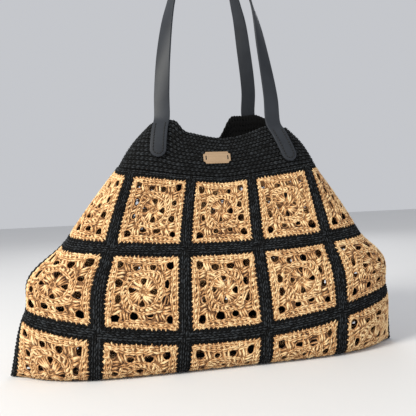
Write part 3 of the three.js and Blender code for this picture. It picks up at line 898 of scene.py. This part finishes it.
def strap_work(strap):
    """The leather band, as rings of its section from tip to tip."""
    work = Work()
    end = STRAP_WIDTH / 2
    near_tip = end * (1 - np.cos(np.linspace(0, math.pi / 2, TIP_STEPS)))
    body = np.linspace(end, strap.length - end, STRAP_STATIONS)[1:-1]
    along = np.concatenate([near_tip, body, strap.length - near_tip[::-1]])
    from_end = np.minimum(np.minimum(along, strap.length - along), end)
    half_width = np.maximum(np.sqrt(end ** 2 - (end - from_end) ** 2), TIP_WIDTH * end)
    section = strap_section()
    edge = np.minimum(half_width, STRAP_EDGE)[:, None]
    across = section[:, 0] * (half_width[:, None] - edge) + section[:, 1] * (edge / STRAP_EDGE)
    points = points_of(along[:, None], across, section[:, 2]).reshape(-1, 3)
    n, k = len(along), len(section)
    index = np.arange(n * k).reshape(n, k)
    turn = np.roll(index, -1, axis=1)
    quads = np.stack([index[:-1], index[1:], turn[1:], turn[:-1]], -1).reshape(-1, 4)
    caps = np.stack([index[0], index[-1, ::-1]])
    untwisted = [np.zeros((len(quads), 4, 2)), np.zeros((2, k, 2))]
    work.add(points, np.full(len(points), EVEN_TONE), [quads, caps], untwisted)
    return work


SEAM_INSET = 0.60  # the sewn line's distance from the strap's middle, of its half width
THREAD_RADIUS = 0.75
THREAD_PITCH = 4.2
THREAD_LENGTH = 2.9
THREAD_SIDES = 6
SEAM_TOP = 50.0  # how far up a tab the sewing reaches, from its tip


def seam_points():
    """The sewn line on a tab, down one edge, round the tip and up the other, with its direction."""
    half = STRAP_WIDTH / 2
    r = SEAM_INSET * half
    straight = SEAM_TOP - half
    total = 2 * straight + math.pi * r
    at = np.arange(0, total, THREAD_PITCH)
    x, y, dx, dy = [], [], [], []
    for s in at:
        if s < straight:
            values = (SEAM_TOP - s, r, -1.0, 0.0)
        elif s < straight + math.pi * r:
            a = (s - straight) / r
            values = (half - r * math.sin(a), r * math.cos(a), -math.cos(a), -math.sin(a))
        else:
            values = (half + s - straight - math.pi * r, -r, 1.0, 0.0)
        for target, value in zip((x, y, dx, dy), values):
            target.append(value)
    return points_of(x, y, 0), points_of(dx, dy, 0)


def sewing(strap):
    """Thread through both tabs, one short stitch after another."""
    work = Work()
    at, way = seam_points()
    shares = np.array([-0.5, -0.3, 0.3, 0.5]) * THREAD_LENGTH
    out = np.array([-0.5, 0.22, 0.22, -0.5])
    for mirrored in (False, True):
        lines = lines_from(at, way, shares)
        lines[:, :, 2] += STRAP_THICKNESS / 2 + out
        if mirrored:
            lines[:, :, 0] = strap.length - lines[:, :, 0]
        work.strands(lines, THREAD_RADIUS, EVEN_TONE, THREAD_SIDES)
    return work


# Plaque

BEVEL = 0.35
BEVEL_STEPS = 2
CORNER_STEPS = 12
SLOT_STEPS = 12
PLAQUE_THREAD_RADIUS = 0.55
PLAQUE_THREAD_BESIDE = 0.35  # from the middle of the slot
PLAQUE_THREAD_SHORT = 0.5  # from a slot's end to the thread's
PLAQUE_THREAD_OUT = (-0.4, 0.9, 1.1, 0.9, -0.4)  # from the yoke, along the thread


def plaque_outline():
    w, h, r = PLAQUE_WIDTH / 2, PLAQUE_HEIGHT / 2, PLAQUE_CORNER
    points = []
    for x, y, start in ((w, -h, 180), (w, h, 270), (-w, h, 0), (-w, -h, 90)):
        for k in range(CORNER_STEPS + 1):
            angle = math.radians(start - 90 * k / CORNER_STEPS)
            points.append((x + r * math.cos(angle), y + r * math.sin(angle)))
    return points


def slot_outline(end):
    x = end * (PLAQUE_WIDTH / 2 - PLAQUE_SLOT_MARGIN)
    r = PLAQUE_SLOT_WIDTH / 2
    straight = PLAQUE_SLOT_HEIGHT / 2 - r
    points = []
    for k in range(SLOT_STEPS):
        angle = 2 * math.pi * (k + 0.5) / SLOT_STEPS
        middle = straight if angle < math.pi else -straight
        points.append((x + r * math.cos(angle), middle + r * math.sin(angle)))
    return points


def plaque(finish):
    """A bevelled plate cut from its outline, laid on the yoke."""
    curve = bpy.data.curves.new("plaque_outline", "CURVE")
    curve.dimensions = "2D"
    curve.fill_mode = "BOTH"
    curve.extrude = (PLAQUE_THICKNESS / 2 - BEVEL) * MM
    curve.bevel_depth = BEVEL * MM
    curve.bevel_resolution = BEVEL_STEPS
    curve.offset = -BEVEL * MM
    for outline in (plaque_outline(), slot_outline(-1), slot_outline(1)):
        spline = curve.splines.new("POLY")
        spline.points.add(len(outline) - 1)
        for point, (x, y) in zip(spline.points, outline):
            point.co = (x * MM, y * MM, 0, 1)
        spline.use_cyclic_u = True
    helper = bpy.data.objects.new("plaque_helper", curve)
    bpy.context.scene.collection.objects.link(helper)
    shown = helper.evaluated_get(bpy.context.evaluated_depsgraph_get())
    mesh = bpy.data.meshes.new_from_object(shown)
    bpy.data.objects.remove(helper)
    at, right, up, outward = plaque_basis()
    centre = (at + outward * PLAQUE_THICKNESS / 2 + SHIFT) * MM
    turn = Matrix([[*row] for row in np.stack([right, up, outward], 1)]).to_4x4()
    mesh.transform(Matrix.Translation(Vector(centre)) @ turn)
    mesh.name = "plaque_plate"
    mesh.materials.clear()
    mesh.materials.append(finish)
    obj = bpy.data.objects.new("plaque_plate", mesh)
    bpy.context.scene.collection.objects.link(obj)
    return obj


def plaque_thread():
    """Black thread through each slot, holding the plaque to the yoke."""
    work = Work()
    x = PLAQUE_WIDTH / 2 - PLAQUE_SLOT_MARGIN
    reach = PLAQUE_SLOT_HEIGHT / 2 - PLAQUE_THREAD_SHORT
    ys = np.linspace(-reach, reach, len(PLAQUE_THREAD_OUT))
    lines = []
    for end in (-1, 1):
        for beside in (-PLAQUE_THREAD_BESIDE, PLAQUE_THREAD_BESIDE):
            lines.append(points_of(end * x + beside, ys, PLAQUE_THREAD_OUT))
    work.strands(np.array(lines), PLAQUE_THREAD_RADIUS, EVEN_TONE, THREAD_SIDES)
    return work


def on_plaque(points):
    at, right, up, outward = plaque_basis()
    return at + points[:, 0:1] * right + points[:, 1:2] * up + points[:, 2:3] * outward


# Finishes

class Value:
    """A socket whose number varies over a surface. Arithmetic on it adds Math nodes."""

    def __init__(self, finish, socket):
        self.finish = finish
        self.socket = socket

    def maths(self, operation, first, second=0.0):
        return self.finish.node("ShaderNodeMath", {"operation": operation}, {0: first, 1: second})

    def __add__(self, other):
        return self.maths("ADD", self, other)

    def __sub__(self, other):
        return self.maths("SUBTRACT", self, other)

    def __rsub__(self, other):
        return self.maths("SUBTRACT", other, self)

    def __mul__(self, other):
        return self.maths("MULTIPLY", self, other)

    __radd__ = __add__
    __rmul__ = __mul__

    def wave(self):
        return self.maths("SINE", self)


class Finish:
    """A material as it is put together."""

    def __init__(self, name):
        self.material = bpy.data.materials.new(name)
        self.material.use_nodes = True
        self.tree = self.material.node_tree
        self.tree.nodes.clear()

    def node(self, kind, settings=None, sockets=None, out=0):
        made = self.tree.nodes.new(kind)
        for key, value in (settings or {}).items():
            setattr(made, key, value)
        for key, value in (sockets or {}).items():
            if isinstance(value, Value):
                self.tree.links.new(value.socket, made.inputs[key])
            else:
                made.inputs[key].default_value = value
        return None if out is None else Value(self, made.outputs[out])

    def mix(self, share, a, b):
        settings = {"data_type": "RGBA", "clamp_factor": True}
        return self.node("ShaderNodeMix", settings, {0: share, 6: a, 7: b}, out=2)

    def attribute(self, name, out="Fac"):
        return self.node("ShaderNodeAttribute", {"attribute_name": name}, out=out)

    def noise(self, scale, detail=2.0):
        place = self.node("ShaderNodeTexCoord", out="Object")
        return self.node("ShaderNodeTexNoise", {}, {"Vector": place, "Scale": scale, "Detail": detail})

    def bump(self, height, distance, strength=1.0):
        sockets = {"Height": height, "Distance": distance, "Strength": strength}
        return self.node("ShaderNodeBump", {}, sockets)

    def surface(self, **sockets):
        named = {name.replace("_", " "): value for name, value in sockets.items()}
        shader = self.node("ShaderNodeBsdfPrincipled", {}, named)
        self.node("ShaderNodeOutputMaterial", {}, {"Surface": shader}, out=None)
        return self.material


PLY_WIND = 2.1  # radians for each millimetre along a strand
PLY_ROUND = 12.566  # radians once round a strand: two plies


def yarn(name, dark, middle, light, sheen, blotchy):
    """Plied cotton: its colour wanders from strand to strand, and the plies wind round it. Painted shade
    darkens it in the crevices and between the plies, and painted highlight lightens the crests.
    """
    f = Finish(name)
    along = f.node("ShaderNodeSeparateXYZ", {}, {0: f.attribute("twist", "Vector")})
    around = Value(f, along.socket.node.outputs["Y"])
    ply = (along * PLY_WIND + around * PLY_ROUND).wave()
    tone = f.attribute("tone")
    blotch = f.noise(28.0)
    fibre = f.noise(1900.0, 3.0)
    # Painted light: tone holds painted crevice shade and crest highlight besides each strand's own shade,
    # and ply paints shade into the grooves between the plies. blotch and fibre are the yarn's own wandering
    # colour.
    share = tone + blotch * blotchy - blotchy / 2 + fibre * 0.2 - 0.1 + ply * 0.06
    low = f.mix(share * 2.0, dark, middle)
    colour = f.mix(share * 2.0 - 1.0, low, light)
    height = ply * 0.5 + fibre * 0.45
    return f.surface(Base_Color=colour, Roughness=0.74 + fibre * 0.2, Normal=f.bump(height, 0.0004, 0.6),
                     Sheen_Weight=sheen, Sheen_Roughness=0.5, Specular_IOR_Level=0.2)


def leather(name, dark, light):
    f = Finish(name)
    place = f.node("ShaderNodeTexCoord", out="Object")
    grain = f.node("ShaderNodeTexVoronoi", {"feature": "SMOOTH_F1"}, {"Vector": place, "Scale": 900.0})
    wear = f.noise(40.0, 4.0)
    return f.surface(Base_Color=f.mix(wear, dark, light), Roughness=0.40 + wear * 0.14 - grain * 0.06,
                     Normal=f.bump(grain * 0.7 + wear * 0.3, 0.00025, 0.35), Specular_IOR_Level=0.14)


def thread(name, colour, paler):
    f = Finish(name)
    fibre = f.noise(1600.0, 2.0)
    return f.surface(Base_Color=f.mix(fibre, colour, paler), Roughness=0.6 + fibre * 0.2,
                     Normal=f.bump(fibre, 0.0002, 0.5))


def wood(name, dark, light):
    """Fine straight grain along the plate."""
    f = Finish(name)
    place = f.node("ShaderNodeTexCoord", out="Object")
    stretched = f.node("ShaderNodeMapping", {}, {"Vector": place, "Scale": (60.0, 60.0, 900.0)})
    grain = f.node("ShaderNodeTexNoise", {}, {"Vector": stretched, "Scale": 1.0, "Detail": 4.0})
    return f.surface(Base_Color=f.mix(grain, dark, light), Roughness=0.5 + grain * 0.2,
                     Normal=f.bump(grain, 0.0001, 0.4))


def plain(name, colour, roughness):
    f = Finish(name)
    tint = f.noise(3.0)
    paler = tuple(min(c * 1.03, 1.0) for c in colour[:3]) + (1.0,)
    return f.surface(Base_Color=f.mix(tint, colour, paler), Roughness=roughness)


# The yarns' dark colour shows mostly as painted shade in the crevices, and their light colour mostly as
# painted highlights and glints on the crests.
TAN_YARN = yarn("tan_cord", dark=(0.050, 0.015, 0.005, 1), middle=(0.55, 0.275, 0.105, 1),
                light=(0.90, 0.67, 0.36, 1), sheen=0.12, blotchy=0.6)
BLACK_YARN = yarn("black_cord", dark=(0.0008, 0.0008, 0.0008, 1), middle=(0.0045, 0.0048, 0.005, 1),
                  light=(0.030, 0.034, 0.038, 1), sheen=0.0, blotchy=0.15)
STRAP_LEATHER = leather("strap_leather", (0.018, 0.020, 0.024, 1), (0.034, 0.038, 0.045, 1))
SEWING_THREAD = thread("sewing_thread", (0.0015, 0.0015, 0.0015, 1), (0.004, 0.004, 0.004, 1))
PLAQUE_WOOD = wood("plaque_wood", (0.26, 0.165, 0.09, 1), (0.40, 0.275, 0.165, 1))


# The bag

# Seeds of the random draws, so that the bag comes out the same each time
SQUARE_SEEDS = {1: 100, -1: 150}
EDGING_SEEDS = {1: 7, -1: 8}
YOKE_SEED = 3


def make_cloth():
    for side_name, side in (("front", 1), ("back", -1)):
        for row in range(ROWS):
            for column in range(COLUMNS):
                node = f"square_{side_name}_{row + 1}_{column + 1}"
                rng = np.random.default_rng(SQUARE_SEEDS[side] + 10 * row + column)
                work = granny_square(rng, 1.0 if side > 0 else BACK_OPENNESS)
                centre = square_centre(row, column)
                place = on_cloth(side)
                obj = work.piece("crochet_" + node, lambda p: place(p + centre), TAN_YARN, flip=side < 0)
                ride_as(obj, "tan_cord", node)
        node = f"edging_{side_name}"
        work = edging(np.random.default_rng(EDGING_SEEDS[side]))
        obj = work.piece("crochet_" + node, on_cloth(side), BLACK_YARN, flip=side < 0)
        ride_as(obj, "black_cord", node)
    obj = yoke_work(np.random.default_rng(YOKE_SEED)).piece("crochet_yoke", on_yoke, BLACK_YARN)
    ride_as(obj, "black_cord", "yoke")


def make_straps():
    for design in STRAPS:
        strap = Strap(design)
        obj = strap_work(strap).piece("leather_" + design["name"], strap.place, STRAP_LEATHER)
        ride_as(obj, "strap_leather", design["name"])
        obj = sewing(strap).piece("sewing_" + design["name"], strap.place, SEWING_THREAD, flip=True)
        ride_as(obj, "strap_leather")


def make_plaque():
    ride_as(plaque(PLAQUE_WOOD), "plaque_wood", "plaque")
    ride_as(plaque_thread().piece("plaque_thread", on_plaque, SEWING_THREAD), "black_cord")


make_cloth()
make_straps()
make_plaque()


# Floor, light and camera

FLOOR_REACH = 6.0
FLOOR_DROP = 0.0005  # keeps the floor's face from the bag's


def make_floor():
    mesh = bpy.data.meshes.new("floor")
    corners = [(-1, -1), (1, -1), (1, 1), (-1, 1)]
    points = [(x * FLOOR_REACH, y * FLOOR_REACH, -FLOOR_DROP) for x, y in corners]
    mesh.from_pydata(points, [], [(0, 1, 2, 3)])
    mesh.materials.append(plain("pale_floor", (0.70, 0.70, 0.70, 1), 0.85))
    obj = bpy.data.objects.new("floor", mesh)
    bpy.context.scene.collection.objects.link(obj)


def soft_light(name, at, target, size, power, colour):
    data = bpy.data.lights.new(name, "AREA")
    data.shape = "DISK"
    data.size = size
    data.energy = power
    data.color = colour
    obj = bpy.data.objects.new(name, data)
    obj.location = at
    obj.rotation_euler = (Vector(target) - Vector(at)).to_track_quat("-Z", "Y").to_euler()
    bpy.context.scene.collection.objects.link(obj)


def make_light():
    world = bpy.data.worlds.new("soft_room")
    bpy.context.scene.world = world
    world.use_nodes = True
    world.node_tree.nodes["Background"].inputs["Color"].default_value = (0.93, 0.95, 1.0, 1)
    world.node_tree.nodes["Background"].inputs["Strength"].default_value = 0.6
    middle = (0, 0, 0.2)
    soft_light("window", (-1.7, -1.0, 1.5), middle, 0.8, 64, (1.0, 0.97, 0.90))
    soft_light("fill", (1.6, -1.6, 0.9), middle, 1.8, 8, (0.92, 0.95, 1.0))
    soft_light("back", (0.6, 1.8, 1.4), middle, 1.2, 8, (1.0, 1.0, 1.0))


# The photograph's view, in the row frame: place in metres, angles in radians, focus in pixels of its frame
CAMERA_AT = (-0.14907, -0.76047, 0.21389)
CAMERA_YAW = 0.2022
CAMERA_PITCH = -0.0104
CAMERA_ROLL = -0.0426
CAMERA_FOCUS = 534.85
PHOTO_SIZE = 416
SENSOR = 36.0


def make_camera():
    forward = Vector((math.sin(CAMERA_YAW) * math.cos(CAMERA_PITCH),
                      math.cos(CAMERA_YAW) * math.cos(CAMERA_PITCH), math.sin(CAMERA_PITCH)))
    right = forward.cross(Vector((0, 0, 1))).normalized()
    up = right.cross(forward)
    c, s = math.cos(CAMERA_ROLL), math.sin(CAMERA_ROLL)
    image_right = right * c + up * s
    image_up = up * c - right * s
    data = bpy.data.cameras.new("camera")
    data.sensor_width = SENSOR
    data.lens = CAMERA_FOCUS / PHOTO_SIZE * SENSOR
    data.clip_start, data.clip_end = 0.01, 50
    obj = bpy.data.objects.new("camera", data)
    obj.matrix_world = Matrix.Translation(Vector(CAMERA_AT)) @ Matrix((
        (image_right.x, image_up.x, -forward.x), (image_right.y, image_up.y, -forward.y),
        (image_right.z, image_up.z, -forward.z))).to_4x4()
    bpy.context.scene.collection.objects.link(obj)
    bpy.context.scene.camera = obj


make_floor()
make_light()
make_camera()
bpy.context.scene.view_settings.view_transform = "Standard"
